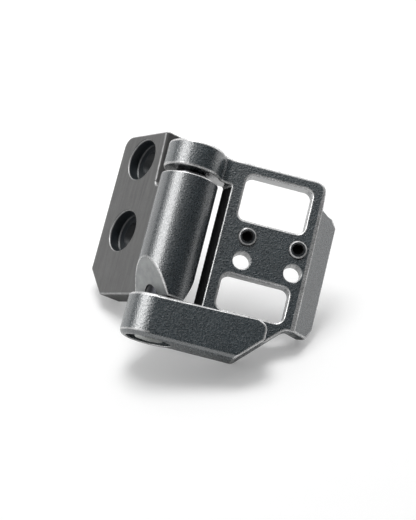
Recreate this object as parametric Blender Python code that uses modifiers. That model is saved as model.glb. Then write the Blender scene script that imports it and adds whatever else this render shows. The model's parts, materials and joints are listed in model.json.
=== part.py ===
"""Folding hinge: a cast frame leaf with two ears, a plate leaf with a sprung barrel, and their pin.

Units are metres and +Z runs along the hinge pin. The origin is on the frame leaf's flat mounting
face, midway between its four screw holes, and +Y points out of that face. The pieces are modelled
in the frame of the hinge axis: X runs along the frame leaf, Z = 0 is the lower ear's top, and the
plate leaf is modelled along its own X before it is turned to its rest angle.
"""
import bmesh
import bpy
from math import asin, atan2, cos, hypot, pi, radians, sin, tan

MM = 0.001

TOUCH_GAP = 0.3 * MM            # gap between pieces that bear on each other
LEAF_REST_ANGLE = radians(125.0)  # turn of the plate leaf from the frame leaf's X direction

# Hinge pin
PIN_DIAMETER = 7.2 * MM
PIN_HEAD_DIAMETER = 11.0 * MM
PIN_HEAD_HEIGHT = 2.0 * MM
PIN_END_CHAMFER = 0.2 * MM
PIN_END_RECESS = 0.4 * MM       # how far the pin's foot stays inside the lower ear
PIN_SEAT_DIAMETER = 11.6 * MM   # counterbore in each ear
PIN_FOOT_SEAT_DEPTH = 3.0 * MM
SNAP_RING_WIRE = 1.0 * MM
SNAP_RING_SINK = 0.7 * MM       # how deep the ring lies in the pin's groove
SNAP_RING_OPENING = radians(40.0)

# Barrel of the plate leaf
BARREL_DIAMETER = 15.0 * MM
BARREL_TOP = 32.0 * MM
SPRING_POCKET_DEPTH = 12.0 * MM
SPRING_WIRE = 0.8 * MM
SPRING_TURNS = 6
WASHER_THICKNESS = 0.8 * MM
LIFT_GAP = 1.8 * MM             # space over the barrel, which lets the leaf lift on its pin
FOOT_FLAT_HEIGHT = 9.0 * MM     # height of the two oblique flats at the barrel's foot
FOOT_FLAT_ANGLE = radians(30.0)
FOOT_FLAT_REACH = 2.0 * MM      # how far the rear flat runs towards the plate

# Plate of the plate leaf
LEAF_LENGTH = 36.0 * MM
LEAF_BOTTOM = 1.6 * MM
LEAF_TOP = 47.6 * MM
LEAF_FACE_OFFSET = 0.5 * MM     # how far the front face lies behind the hinge axis
LEAF_FOOT_CHAMFER = 7.3 * MM
LEAF_TOP_RADIUS = 3.0 * MM
LEAF_NOTCH_LENGTH = 16.3 * MM   # the notch that clears the upper ear
LEAF_NOTCH_RADIUS = 1.5 * MM
LEAF_HOLE_X = 25.8 * MM
LEAF_HOLE_HEIGHTS = (19.65 * MM, 40.2 * MM)
LEAF_HOLE_DIAMETER = 7.0 * MM
LEAF_SEAT_DIAMETER = 11.5 * MM
LEAF_SEAT_DEPTH = 3.4 * MM

# Frame leaf: ears and plate
EAR_DIAMETER = 15.0 * MM
LOWER_EAR_HEIGHT = 10.8 * MM
UPPER_EAR_HEIGHT = 7.0 * MM
EAR_FILLET = 2.5 * MM
PLATE_FRONT = 0.4 * MM          # plate's front face, behind the hinge axis
PLATE_THICKNESS = 4.8 * MM
PLATE_LENGTH = 34.9 * MM        # from the hinge axis to the plate's outer edge
LEDGE_INSET = 7.1 * MM          # how far the lower ear's ledge ends before that edge
PLATE_TOP_RADIUS = 2.8 * MM
BARREL_CLEARANCE = 3.0 * MM     # radial space around the barrel, cut into the plate's edge
SLANT_ANGLE = radians(46.0)     # slanted lower edge of the frame leaf
SLANT_INSET = 2.3 * MM          # how far the slant starts before the plate's outer edge
SLANT_FILLET = 2.5 * MM
PLATE_FOOT = 0.5 * MM           # lower edge beside the wing

# Frame leaf: wing at the outer edge
WING_ANGLE = radians(52.0)
WING_LENGTH = 8.7 * MM
WING_THICKNESS = 4.5 * MM
WING_TOP = 32.9 * MM
WING_TOP_CHAMFER = (1.8 * MM, 1.6 * MM)
WING_FOOT_CHAMFER = (1.5 * MM, 3.0 * MM)

# Frame leaf: windows and holes
WINDOW_LEFT = 14.1 * MM
WINDOW_INSET = 3.3 * MM         # from the windows to the plate's outer edge
UPPER_WINDOW = (25.6 * MM, 37.7 * MM)
LOWER_WINDOW = (1.8 * MM, 11.1 * MM)
WINDOW_RADIUS = 2.0 * MM
INNER_HOLE_X = 17.85 * MM
OUTER_HOLE_INSET = 3.75 * MM    # from the outer holes to the plate's outer edge
HOLE_HEIGHT = 15.2 * MM
HOLE_DIAMETER = 4.5 * MM
SCREW_HEIGHT = 21.5 * MM

# Stop screws: headless, with a hexagon socket
SCREW_DIAMETER = 5.0 * MM
SCREW_LENGTH = 5.0 * MM
SCREW_STAND = 0.7 * MM          # how far a screw stands out of the plate's front
SCREW_SOCKET_FLATS = 2.5 * MM
SCREW_SOCKET_DEPTH = 2.2 * MM
SCREW_CHAMFER = 0.35 * MM
THREAD_GAP = 0.12 * MM          # radial space between a screw and its hole

# Edge finish and mesh fineness
EDGE_RADIUS = 0.4 * MM
EDGE_SEGMENTS = 2
ROUND_SEGMENTS = 64
SMALL_SEGMENTS = 32
CORNER_SEGMENTS = 5
WALL_SEGMENTS = 2
MERGE = 0.01 * MM
SEAM_GAP = 0.1 * MM             # points closer than this are one before edges are rounded
SPILL = 2.0 * MM                # how far a cutter runs past the surface that it opens

# Sizes that follow from the ones above
PIN_RADIUS = PIN_DIAMETER / 2
BORE_RADIUS = PIN_RADIUS + TOUCH_GAP
BARREL_RADIUS = BARREL_DIAMETER / 2
EAR_RADIUS = EAR_DIAMETER / 2
PLATE_BACK = PLATE_FRONT + PLATE_THICKNESS
LOWER_EAR_LENGTH = PLATE_LENGTH - LEDGE_INSET
SLANT_TOP_X = PLATE_LENGTH - SLANT_INSET
WINDOW_RIGHT = PLATE_LENGTH - WINDOW_INSET
HOLE_X = (INNER_HOLE_X, PLATE_LENGTH - OUTER_HOLE_INSET)
UPPER_EAR_FOOT = BARREL_TOP + LIFT_GAP
FRAME_TOP = UPPER_EAR_FOOT + UPPER_EAR_HEIGHT
SPRING_RADIUS = BORE_RADIUS + SPRING_WIRE / 2
SPRING_OUTER = SPRING_RADIUS + SPRING_WIRE / 2
POCKET_RADIUS = SPRING_OUTER + TOUCH_GAP
POCKET_FLOOR = BARREL_TOP - SPRING_POCKET_DEPTH
WASHER_FOOT = POCKET_FLOOR + TOUCH_GAP
SPRING_FOOT = WASHER_FOOT + WASHER_THICKNESS + TOUCH_GAP
SPRING_TOP = UPPER_EAR_FOOT - TOUCH_GAP
HEAD_SEAT_DEPTH = PIN_HEAD_HEIGHT + 2 * TOUCH_GAP
HEAD_TOP = FRAME_TOP - TOUCH_GAP
PIN_FOOT = -LOWER_EAR_HEIGHT + PIN_END_RECESS
FOOT_SEAT_TOP = -LOWER_EAR_HEIGHT + PIN_FOOT_SEAT_DEPTH
RING_RADIUS = PIN_RADIUS + SNAP_RING_WIRE / 2 - SNAP_RING_SINK + TOUCH_GAP
RING_HEIGHT = FOOT_SEAT_TOP - TOUCH_GAP - SNAP_RING_WIRE / 2
GROOVE_RADIUS = RING_RADIUS - SNAP_RING_WIRE / 2 - TOUCH_GAP
GROOVE_HALF = SNAP_RING_WIRE / 2 + TOUCH_GAP
ORIGIN = (sum(HOLE_X) / 2, PLATE_BACK, (HOLE_HEIGHT + SCREW_HEIGHT) / 2)


def clear_scene():
    """Remove every object, so that the file holds only the hinge."""
    for item in list(bpy.data.objects):
        bpy.data.objects.remove(item, do_unlink=True)


def make_collection(name):
    collection = bpy.data.collections.new(name)
    bpy.context.scene.collection.children.link(collection)
    return collection


def make_material(name, color, roughness, metallic):
    material = bpy.data.materials.new(name)
    material.use_nodes = True
    shader = material.node_tree.nodes["Principled BSDF"]
    shader.inputs["Base Color"].default_value = (*color, 1.0)
    shader.inputs["Roughness"].default_value = roughness
    shader.inputs["Metallic"].default_value = metallic
    return material


def add_object(name, mesh, collection, parent=None):
    item = bpy.data.objects.new(name, mesh)
    collection.objects.link(item)
    item.parent = parent
    return item


def finish(item, material):
    """Give a piece its material and smooth shading over its round faces."""
    item.data.materials.clear()
    item.data.materials.append(material)
    item.data.shade_smooth()
    item.data.set_sharp_from_angle(angle=radians(35.0))
    return item


def hide_cutter(item):
    item.hide_render = True
    item.display_type = "WIRE"
    return item


def arc(center, radius, start, end, steps):
    """Points along an arc, from the start angle to the end angle, both included."""
    return [(center[0] + radius * cos(start + (end - start) * i / steps),
             center[1] + radius * sin(start + (end - start) * i / steps))
            for i in range(steps + 1)]


def rounded(corners, steps=CORNER_SEGMENTS):
    """Turn a list of (x, y, radius) corners into an outline with round corners."""
    outline = []
    count = len(corners)
    for i, (x, y, radius) in enumerate(corners):
        if radius == 0.0:
            outline.append((x, y))
            continue
        before = corners[i - 1]
        after = corners[(i + 1) % count]
        angle_in = atan2(before[1] - y, before[0] - x)
        angle_out = atan2(after[1] - y, after[0] - x)
        turn = (angle_out - angle_in + pi) % (2 * pi) - pi
        setback = radius / tan(abs(turn) / 2)
        reach = hypot(radius, setback)
        bisector = angle_in + turn / 2
        center = (x + reach * cos(bisector), y + reach * sin(bisector))
        side = 1 if turn > 0 else -1
        start = angle_in - side * pi / 2
        sweep = side * (abs(turn) - pi)
        outline += arc(center, radius, start, start + sweep, steps)
    return outline


def outline_solid(name, outline, low, high, collection, parent, upright=False):
    """Extrude a flat outline from low to high: along Z, or along Y when upright."""
    curve = bpy.data.curves.new(name, "CURVE")
    curve.dimensions = "2D"
    curve.fill_mode = "BOTH"
    curve.extrude = (high - low) / 2
    spline = curve.splines.new("POLY")
    spline.points.add(len(outline) - 1)
    for point, (x, y) in zip(spline.points, outline):
        point.co = (x, y, 0.0, 1.0)
    spline.use_cyclic_u = True
    middle = (low + high) / 2
    source = bpy.data.objects.new(name + "_outline", curve)
    collection.objects.link(source)
    bpy.context.view_layer.update()
    graph = bpy.context.evaluated_depsgraph_get()
    mesh = bpy.data.meshes.new_from_object(source.evaluated_get(graph))
    bpy.data.objects.remove(source, do_unlink=True)
    bpy.data.curves.remove(curve)
    work = bmesh.new()
    work.from_mesh(mesh)
    bmesh.ops.remove_doubles(work, verts=work.verts, dist=MERGE)
    if upright:
        for vert in work.verts:
            x, y, z = vert.co
            vert.co = (x, middle - z, y)
    else:
        for vert in work.verts:
            vert.co.z += middle
    bmesh.ops.recalc_face_normals(work, faces=work.faces)
    bmesh.ops.dissolve_limit(work, angle_limit=radians(0.5), verts=work.verts, edges=work.edges)
    work.to_mesh(mesh)
    work.free()
    return add_object(name, mesh, collection, parent)


def round_bar(name, radius, low, high, collection, parent, along_y=False, x=0.0, other=0.0,
              segments=ROUND_SEGMENTS):
    """A round bar along Z at (x, other), or along Y at X = x and Z = other."""
    mesh = bpy.data.meshes.new(name)
    work = bmesh.new()
    bmesh.ops.create_cone(work, cap_ends=True, segments=segments, radius1=radius, radius2=radius,
                          depth=high - low)
    middle = (low + high) / 2
    for vert in work.verts:
        across, up, along = vert.co
        if along_y:
            vert.co = (x + across, middle + along, other - up)
        else:
            vert.co = (x + across, other + up, middle + along)
    bmesh.ops.recalc_face_normals(work, faces=work.faces)
    work.to_mesh(mesh)
    work.free()
    return add_object(name, mesh, collection, parent)


def box(name, low, high, collection, parent):
    mesh = bpy.data.meshes.new(name)
    work = bmesh.new()
    bmesh.ops.create_cube(work, size=1.0)
    for vert in work.verts:
        vert.co = [(a + b) / 2 + c * (b - a) for a, b, c in zip(low, high, vert.co)]
    work.to_mesh(mesh)
    work.free()
    return add_object(name, mesh, collection, parent)


def turned(name, profile, collection, parent, segments=ROUND_SEGMENTS):
    """Turn a profile of (radius, height) points, listed from top to bottom, about Z."""
    mesh = bpy.data.meshes.new(name)
    mesh.from_pydata([(radius, 0.0, height) for radius, height in profile],
                     [(i, i + 1) for i in range(len(profile) - 1)], [])
    item = add_object(name, mesh, collection, parent)
    screw = item.modifiers.new("Turn", "SCREW")
    screw.angle = 2 * pi
    screw.steps = segments
    screw.render_steps = segments
    screw.use_merge_vertices = True
    screw.merge_threshold = MERGE
    screw.use_smooth_shade = True
    return item


def wire(name, points, radius, collection, parent, resolution=2):
    """A wire with closed ends along the given points."""
    curve = bpy.data.curves.new(name, "CURVE")
    curve.dimensions = "3D"
    curve.bevel_depth = radius
    curve.bevel_resolution = resolution
    curve.use_fill_caps = True
    spline = curve.splines.new("POLY")
    spline.points.add(len(points) - 1)
    for point, place in zip(spline.points, points):
        point.co = (*place, 1.0)
    item = bpy.data.objects.new(name, curve)
    collection.objects.link(item)
    item.parent = parent
    return item


def combine(item, other, operation="DIFFERENCE"):
    modifier = item.modifiers.new(operation.title() + " " + other.name, "BOOLEAN")
    modifier.operation = operation
    modifier.solver = "EXACT"
    modifier.object = other
    hide_cutter(other)
    return item


def merge_seams(item):
    """Merge small steps and flat seams that the cuts left, before edges are rounded."""
    merge = item.modifiers.new("Small steps", "WELD")
    merge.merge_threshold = SEAM_GAP
    seams = item.modifiers.new("Flat seams", "DECIMATE")
    seams.decimate_type = "DISSOLVE"
    seams.angle_limit = radians(0.4)
    return item


def round_edges(item, angle, clamp):
    """Round every edge sharper than the angle, once vertices that lie close together are merged."""
    weld = item.modifiers.new("Merge", "WELD")
    weld.merge_threshold = MERGE
    bevel = item.modifiers.new("Edge radius", "BEVEL")
    bevel.width = EDGE_RADIUS
    bevel.segments = EDGE_SEGMENTS
    bevel.limit_method = "ANGLE"
    bevel.angle_limit = angle
    bevel.use_clamp_overlap = clamp
    bevel.miter_outer = "MITER_ARC"
    return item


def ear_flank():
    """The front of the ear from its foremost point to the plate, through the hollow fillet."""
    half_step = pi / ROUND_SEGMENTS
    center_y = PLATE_FRONT - EAR_FILLET
    center_x = ((EAR_RADIUS + EAR_FILLET) ** 2 - center_y ** 2) ** 0.5
    touch = atan2(center_y, center_x)
    flank = arc((0.0, 0.0), EAR_RADIUS, -pi / 2 + half_step, touch, ROUND_SEGMENTS // 5)
    hollow = arc((center_x, center_y), EAR_FILLET, touch + pi, pi / 2, CORNER_SEGMENTS)
    return flank + hollow[1:]


def ear_back():
    """The back of the ear, from the plate's back face round to its foremost point."""
    half_step = pi / ROUND_SEGMENTS
    center_y = PLATE_BACK + EAR_FILLET
    center_x = ((EAR_RADIUS + EAR_FILLET) ** 2 - center_y ** 2) ** 0.5
    touch = atan2(center_y, center_x)
    hollow = arc((center_x, center_y), EAR_FILLET, -pi / 2, touch - pi, CORNER_SEGMENTS)
    turn = 3 * pi / 2 - half_step
    back = arc((0.0, 0.0), EAR_RADIUS, touch, turn, round((turn - touch) / (2 * half_step)))
    return hollow[:-1] + back


def frame_plan():
    """The frame leaf seen along the pin: ear, ledge, plate and wing."""
    front = -EAR_RADIUS * cos(pi / ROUND_SEGMENTS)
    tip = (PLATE_LENGTH + WING_LENGTH * cos(WING_ANGLE), PLATE_FRONT + WING_LENGTH * sin(WING_ANGLE))
    inner_tip = (tip[0] - WING_THICKNESS * sin(WING_ANGLE), tip[1] + WING_THICKNESS * cos(WING_ANGLE))
    root_x = inner_tip[0] - (inner_tip[1] - PLATE_BACK) / tan(WING_ANGLE)
    return [(LOWER_EAR_LENGTH, front), (LOWER_EAR_LENGTH, PLATE_FRONT), (PLATE_LENGTH, PLATE_FRONT),
            tip, inner_tip, (root_x, PLATE_BACK)] + ear_back()


def frame_silhouette():
    """The frame leaf seen from the front, with its slanted foot and the wing's outline."""
    left = -EAR_RADIUS - SPILL
    foot = -LOWER_EAR_HEIGHT
    slant_foot_x = SLANT_TOP_X - (PLATE_FOOT - foot) / tan(SLANT_ANGLE)
    wing_tip = PLATE_LENGTH + WING_LENGTH * cos(WING_ANGLE) + SPILL
    foot_run = WING_FOOT_CHAMFER[0] + SPILL
    top_run = WING_TOP_CHAMFER[0] + SPILL
    foot_rise = WING_FOOT_CHAMFER[1] * foot_run / WING_FOOT_CHAMFER[0]
    top_drop = WING_TOP_CHAMFER[1] * top_run / WING_TOP_CHAMFER[0]
    return rounded([
        (left, foot, 0.0), (slant_foot_x, foot, 0.0), (SLANT_TOP_X, PLATE_FOOT, SLANT_FILLET),
        (wing_tip - foot_run, PLATE_FOOT, 0.0), (wing_tip, PLATE_FOOT + foot_rise, 0.0),
        (wing_tip, WING_TOP - top_drop, 0.0), (wing_tip - top_run, WING_TOP, 0.0),
        (PLATE_LENGTH, WING_TOP, 0.0), (PLATE_LENGTH, FRAME_TOP, PLATE_TOP_RADIUS),
        (left, FRAME_TOP, 0.0)])


def barrel_space():
    """The room for the barrel between the ears. Its round wall is in the plate's edge."""
    radius = BARREL_RADIUS + BARREL_CLEARANCE
    side = radius + SPILL
    wall = arc((0.0, 0.0), radius, asin(PLATE_FRONT / radius), asin(PLATE_BACK / radius),
               WALL_SEGMENTS)
    return [(-side, -side), (wall[0][0], -side)] + wall + [(wall[-1][0], side), (-side, side)]


def window_outline(span):
    low, high = span
    return rounded([(WINDOW_LEFT, low, WINDOW_RADIUS), (WINDOW_RIGHT, low, WINDOW_RADIUS),
                    (WINDOW_RIGHT, high, WINDOW_RADIUS), (WINDOW_LEFT, high, WINDOW_RADIUS)])


def build_frame_leaf(parts, cutters, parent, material):
    """One casting: lower ear with its ledge, upper ear, windowed plate and wing."""
    foot = -LOWER_EAR_HEIGHT - SPILL
    top = FRAME_TOP + SPILL
    front = -EAR_RADIUS - SPILL
    back = PLATE_FRONT + WING_LENGTH * sin(WING_ANGLE) + WING_THICKNESS + SPILL
    leaf = outline_solid("frame_leaf", frame_plan(), foot, top, parts, parent)
    silhouette = outline_solid("frame_silhouette", frame_silhouette(), front, back, cutters, parent, True)
    combine(leaf, silhouette, "INTERSECT")

    flank = ear_flank()
    far = PLATE_LENGTH + WING_LENGTH + SPILL
    relief = ([(flank[0][0], front)] + flank
              + [(LOWER_EAR_LENGTH, PLATE_FRONT), (LOWER_EAR_LENGTH + SPILL, front)])
    combine(leaf, outline_solid("ledge_relief", relief, 0.0, top, cutters, parent))
    combine(leaf, outline_solid("barrel_space", barrel_space(), 0.0, UPPER_EAR_FOOT, cutters, parent))
    combine(leaf, box("wing_head_relief", (WINDOW_LEFT, PLATE_BACK, WING_TOP), (far, back, top),
                      cutters, parent))

    for name, span in (("upper_window", UPPER_WINDOW), ("lower_window", LOWER_WINDOW)):
        combine(leaf, outline_solid(name, window_outline(span), PLATE_FRONT - SPILL, PLATE_BACK + SPILL,
                                    cutters, parent, True))
    merge_seams(leaf)
    round_edges(leaf, radians(55.0), False)
    for i, x in enumerate(HOLE_X):
        for name, radius, height in (("open_hole", HOLE_DIAMETER / 2, HOLE_HEIGHT),
                                     ("screw_hole", SCREW_DIAMETER / 2 + THREAD_GAP, SCREW_HEIGHT)):
            combine(leaf, round_bar(f"{name}_{i + 1}", radius, PLATE_FRONT - SPILL, PLATE_BACK + SPILL,
                                    cutters, parent, True, x, height, SMALL_SEGMENTS))
    combine(leaf, round_bar("pin_bore", BORE_RADIUS, foot, top, cutters, parent))
    combine(leaf, round_bar("pin_foot_seat", PIN_SEAT_DIAMETER / 2, foot, FOOT_SEAT_TOP, cutters, parent))
    combine(leaf, round_bar("pin_head_seat", PIN_SEAT_DIAMETER / 2, FRAME_TOP - HEAD_SEAT_DEPTH, top,
                            cutters, parent))
    return finish(leaf, material)


def leaf_plan():
    """The plate leaf seen along the pin: the barrel, and a plate that is tangent to its back."""
    half_step = pi / ROUND_SEGMENTS
    back = -BARREL_RADIUS * cos(half_step)
    meet = asin(-LEAF_FACE_OFFSET / BARREL_RADIUS)
    turn = 3 * pi / 2 - half_step
    steps = round((turn - meet) / (2 * half_step))
    return arc((0.0, 0.0), BARREL_RADIUS, meet, turn, steps) + [
        (LEAF_LENGTH, back), (LEAF_LENGTH, -LEAF_FACE_OFFSET)]


def leaf_silhouette():
    """The plate leaf seen from its front: slanted foot, round head corner and ear notch."""
    left = -BARREL_RADIUS - SPILL
    shoulder = BARREL_RADIUS + TOUCH_GAP
    foot = TOUCH_GAP
    return rounded([
        (left, foot, 0.0), (shoulder, foot, 0.0), (shoulder, LEAF_BOTTOM, 0.0),
        (LEAF_LENGTH - LEAF_FOOT_CHAMFER, LEAF_BOTTOM, 0.0),
        (LEAF_LENGTH, LEAF_BOTTOM + LEAF_FOOT_CHAMFER, 0.0),
        (LEAF_LENGTH, LEAF_TOP, LEAF_TOP_RADIUS), (LEAF_NOTCH_LENGTH, LEAF_TOP, 0.0),
        (LEAF_NOTCH_LENGTH, BARREL_TOP, LEAF_NOTCH_RADIUS), (left, BARREL_TOP, 0.0)])


def foot_flat(name, side, x_low, x_high, collection, parent):
    """A wedge that planes one oblique flat on the barrel's foot, on the +Y or the -Y side."""
    low = -SPILL
    reach = BARREL_RADIUS + SPILL
    rise = SPILL / tan(FOOT_FLAT_ANGLE)
    inner = BARREL_RADIUS - (FOOT_FLAT_HEIGHT - low) * tan(FOOT_FLAT_ANGLE)
    section = [(side * inner, low), (side * reach, low), (side * reach, FOOT_FLAT_HEIGHT + rise)]
    wedge = outline_solid(name, section, x_low, x_high, collection, parent, True)
    for vert in wedge.data.vertices:
        x, y, z = vert.co
        vert.co = (y, x, z)
    wedge.data.flip_normals()
    return wedge


def build_plate_leaf(parts, cutters, parent, material):
    """One piece: the barrel with its bore and spring pocket, and the counterbored plate."""
    low = -SPILL
    high = LEAF_TOP + SPILL
    leaf = outline_solid("plate_leaf", leaf_plan(), low, high, parts, parent)
    combine(leaf, outline_solid("leaf_silhouette", leaf_silhouette(), -BARREL_RADIUS - SPILL,
                                BARREL_RADIUS + SPILL, cutters, parent, True), "INTERSECT")
    side_reach = BARREL_RADIUS + SPILL
    combine(leaf, foot_flat("front_foot_flat", 1, -side_reach, side_reach, cutters, parent))
    combine(leaf, foot_flat("rear_foot_flat", -1, -side_reach, FOOT_FLAT_REACH, cutters, parent))
    round_edges(leaf, radians(40.0), True)
    combine(leaf, round_bar("barrel_bore", BORE_RADIUS, low, high, cutters, parent))
    combine(leaf, round_bar("spring_pocket", POCKET_RADIUS, POCKET_FLOOR, high, cutters, parent))
    for i, height in enumerate(LEAF_HOLE_HEIGHTS):
        combine(leaf, round_bar(f"mounting_hole_{i + 1}", LEAF_HOLE_DIAMETER / 2,
                                -BARREL_RADIUS - SPILL, SPILL, cutters, parent, True,
                                LEAF_HOLE_X, height, SMALL_SEGMENTS))
        combine(leaf, round_bar(f"mounting_seat_{i + 1}", LEAF_SEAT_DIAMETER / 2,
                                -LEAF_FACE_OFFSET - LEAF_SEAT_DEPTH, SPILL, cutters, parent, True,
                                LEAF_HOLE_X, height, SMALL_SEGMENTS))
    return finish(leaf, material)


def build_hinge_pin(parts, parent, material):
    """A turned pin with a low head at the top and a groove for its snap ring near the foot."""
    head_radius = PIN_HEAD_DIAMETER / 2
    head_foot = HEAD_TOP - PIN_HEAD_HEIGHT
    groove_top = RING_HEIGHT + GROOVE_HALF
    groove_foot = RING_HEIGHT - GROOVE_HALF
    profile = [(0.0, HEAD_TOP), (head_radius - PIN_END_CHAMFER, HEAD_TOP),
               (head_radius, HEAD_TOP - PIN_END_CHAMFER), (head_radius, head_foot),
               (PIN_RADIUS, head_foot), (PIN_RADIUS, groove_top), (GROOVE_RADIUS, groove_top),
               (GROOVE_RADIUS, groove_foot), (PIN_RADIUS, groove_foot),
               (PIN_RADIUS, PIN_FOOT + PIN_END_CHAMFER), (PIN_RADIUS - PIN_END_CHAMFER, PIN_FOOT),
               (0.0, PIN_FOOT)]
    return finish(turned("hinge_pin", profile, parts, parent), material)


def build_snap_ring(parts, parent, material):
    """An open ring of round wire in the pin's groove, under the lower ear's seat."""
    start = SNAP_RING_OPENING / 2
    points = [(x, y, RING_HEIGHT) for x, y in
              arc((0.0, 0.0), RING_RADIUS, start, 2 * pi - start, SMALL_SEGMENTS)]
    ring = wire("pin_snap_ring", points, SNAP_RING_WIRE / 2, parts, parent)
    ring.data.materials.append(material)
    return ring


def spring_points():
    """The spring's centre line: one closed turn at each end, and open turns between them."""
    low = SPRING_FOOT + SPRING_WIRE / 2
    high = SPRING_TOP - SPRING_WIRE / 2
    closed_rise = SPRING_WIRE * 1.15
    open_turns = SPRING_TURNS - 2
    open_rise = (high - low - 2 * closed_rise) / open_turns
    steps = 20 * SPRING_TURNS
    points = []
    for i in range(steps + 1):
        turns = SPRING_TURNS * i / steps
        height = low + closed_rise * min(turns, 1.0)
        height += open_rise * min(max(turns - 1.0, 0.0), open_turns)
        height += closed_rise * max(turns - 1.0 - open_turns, 0.0)
        angle = 2 * pi * turns
        points.append((SPRING_RADIUS * cos(angle), SPRING_RADIUS * sin(angle), height))
    return points


def build_spring(parts, parent, material):
    """The coil spring that presses the barrel down on the lower ear."""
    spring = wire("barrel_spring", spring_points(), SPRING_WIRE / 2, parts, parent)
    spring.data.materials.append(material)
    return spring


def build_washer(parts, parent, material):
    """The flat washer between the spring and the floor of its pocket."""
    top = WASHER_FOOT + WASHER_THICKNESS
    washer = turned("spring_washer", [(BORE_RADIUS, top), (SPRING_OUTER, top),
                                      (SPRING_OUTER, WASHER_FOOT), (BORE_RADIUS, WASHER_FOOT),
                                      (BORE_RADIUS, top)], parts, parent)
    return finish(washer, material)


def build_stop_screw(name, x, parts, cutters, parent, material):
    """A headless screw that sets where the folded leaf comes to rest."""
    front = PLATE_FRONT - SCREW_STAND
    radius = SCREW_DIAMETER / 2
    flats_radius = SCREW_SOCKET_FLATS / 2 / cos(pi / 6)
    screw = turned(name, [(0.0, 0.0), (radius - SCREW_CHAMFER, 0.0), (radius, -SCREW_CHAMFER),
                          (radius, SCREW_CHAMFER - SCREW_LENGTH), (radius - SCREW_CHAMFER, -SCREW_LENGTH),
                          (0.0, -SCREW_LENGTH)], parts, parent, SMALL_SEGMENTS)
    screw.location = (x, front, SCREW_HEIGHT)
    screw.rotation_euler = (pi / 2, 0.0, 0.0)
    socket = round_bar(name + "_socket", flats_radius, -SCREW_SOCKET_DEPTH, SPILL, cutters, screw,
                       segments=6)
    combine(screw, socket)
    return finish(screw, material)


def main():
    clear_scene()
    parts = make_collection("folding_hinge")
    cutters = make_collection("cutters")
    coating = make_material("textured_black_coating", (0.045, 0.052, 0.056), 0.42, 0.55)
    leaf_coating = make_material("leaf_coating", (0.06, 0.065, 0.068), 0.42, 0.55)
    steel = make_material("pin_steel", (0.55, 0.57, 0.56), 0.3, 1.0)
    dark_steel = make_material("blackened_steel", (0.05, 0.05, 0.05), 0.35, 0.9)
    spring_steel = make_material("spring_steel", (0.35, 0.35, 0.36), 0.3, 1.0)

    axis = add_object("hinge_axis", None, parts)
    axis.location = tuple(-value for value in ORIGIN)
    swing = add_object("leaf_swing_axis", None, parts, axis)
    swing.rotation_euler = (0.0, 0.0, LEAF_REST_ANGLE)

    build_frame_leaf(parts, cutters, axis, coating)
    build_plate_leaf(parts, cutters, swing, leaf_coating)
    build_hinge_pin(parts, axis, steel)
    build_snap_ring(parts, axis, dark_steel)
    build_spring(parts, axis, spring_steel)
    build_washer(parts, axis, steel)
    build_stop_screw("stop_screw_inner", HOLE_X[0], parts, cutters, axis, dark_steel)
    build_stop_screw("stop_screw_outer", HOLE_X[1], parts, cutters, axis, dark_steel)


main()
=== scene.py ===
# %% [markdown]
# # A folding hinge, dressed for its photograph
#
# The object is a small two-leaf hinge. A cast frame leaf carries two round ears, a windowed
# plate, a ledge and a slanted wing. A plate leaf carries a sprung barrel that sits between the
# ears on a steel pin. The CAD solids are loaded first and never change. This script builds finer
# meshes for them, in the same place, and gives every piece its finish.

# %% Load the frame
import json
import math

import bmesh
import bpy
from mathutils import Matrix, Vector

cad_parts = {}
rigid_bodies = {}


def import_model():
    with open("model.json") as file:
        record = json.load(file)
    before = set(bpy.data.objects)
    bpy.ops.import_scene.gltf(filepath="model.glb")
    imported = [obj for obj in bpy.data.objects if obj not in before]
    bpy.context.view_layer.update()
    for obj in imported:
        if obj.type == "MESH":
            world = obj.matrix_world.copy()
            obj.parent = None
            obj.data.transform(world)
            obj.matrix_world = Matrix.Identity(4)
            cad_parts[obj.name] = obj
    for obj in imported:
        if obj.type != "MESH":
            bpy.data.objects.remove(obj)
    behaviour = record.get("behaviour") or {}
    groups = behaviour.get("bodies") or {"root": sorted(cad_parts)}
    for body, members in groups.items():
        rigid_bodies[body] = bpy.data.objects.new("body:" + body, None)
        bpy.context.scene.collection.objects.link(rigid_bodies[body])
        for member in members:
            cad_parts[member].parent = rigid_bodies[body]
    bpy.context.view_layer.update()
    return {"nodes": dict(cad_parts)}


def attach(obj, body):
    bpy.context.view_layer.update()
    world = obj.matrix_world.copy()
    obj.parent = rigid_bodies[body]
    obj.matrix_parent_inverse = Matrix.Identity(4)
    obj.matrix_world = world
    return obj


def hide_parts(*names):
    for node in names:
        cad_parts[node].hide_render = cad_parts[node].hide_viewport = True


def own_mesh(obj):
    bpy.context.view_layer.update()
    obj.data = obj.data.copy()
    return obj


for item in list(bpy.data.objects):
    bpy.data.objects.remove(item, do_unlink=True)
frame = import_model()
print("CAD nodes:", sorted(frame["nodes"]))

# %% [markdown]
# ## Two frames, one set of sizes
#
# The hinge is easiest to draw around its own pin: X runs along the frame leaf, Z up the pin, and
# Z = 0 is the top of the lower ear. The CAD keeps its origin on the mounting face instead, so
# each finished mesh is shifted once, by `ORIGIN`. The plate leaf is drawn along its own X and
# also turned by its rest angle. All sizes are in millimetres times `MM`.

# %% Frames
MM = 0.001
ORIGIN = Vector((24.5, 5.2, 18.35)) * MM
LEAF_REST_ANGLE = math.radians(125.0)
to_row = Matrix.Translation(-ORIGIN)
leaf_to_row = to_row @ Matrix.Rotation(LEAF_REST_ANGLE, 4, "Z")
print("hinge axis in the row frame, mm:", [round(-value * 1000, 2) for value in ORIGIN])

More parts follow.
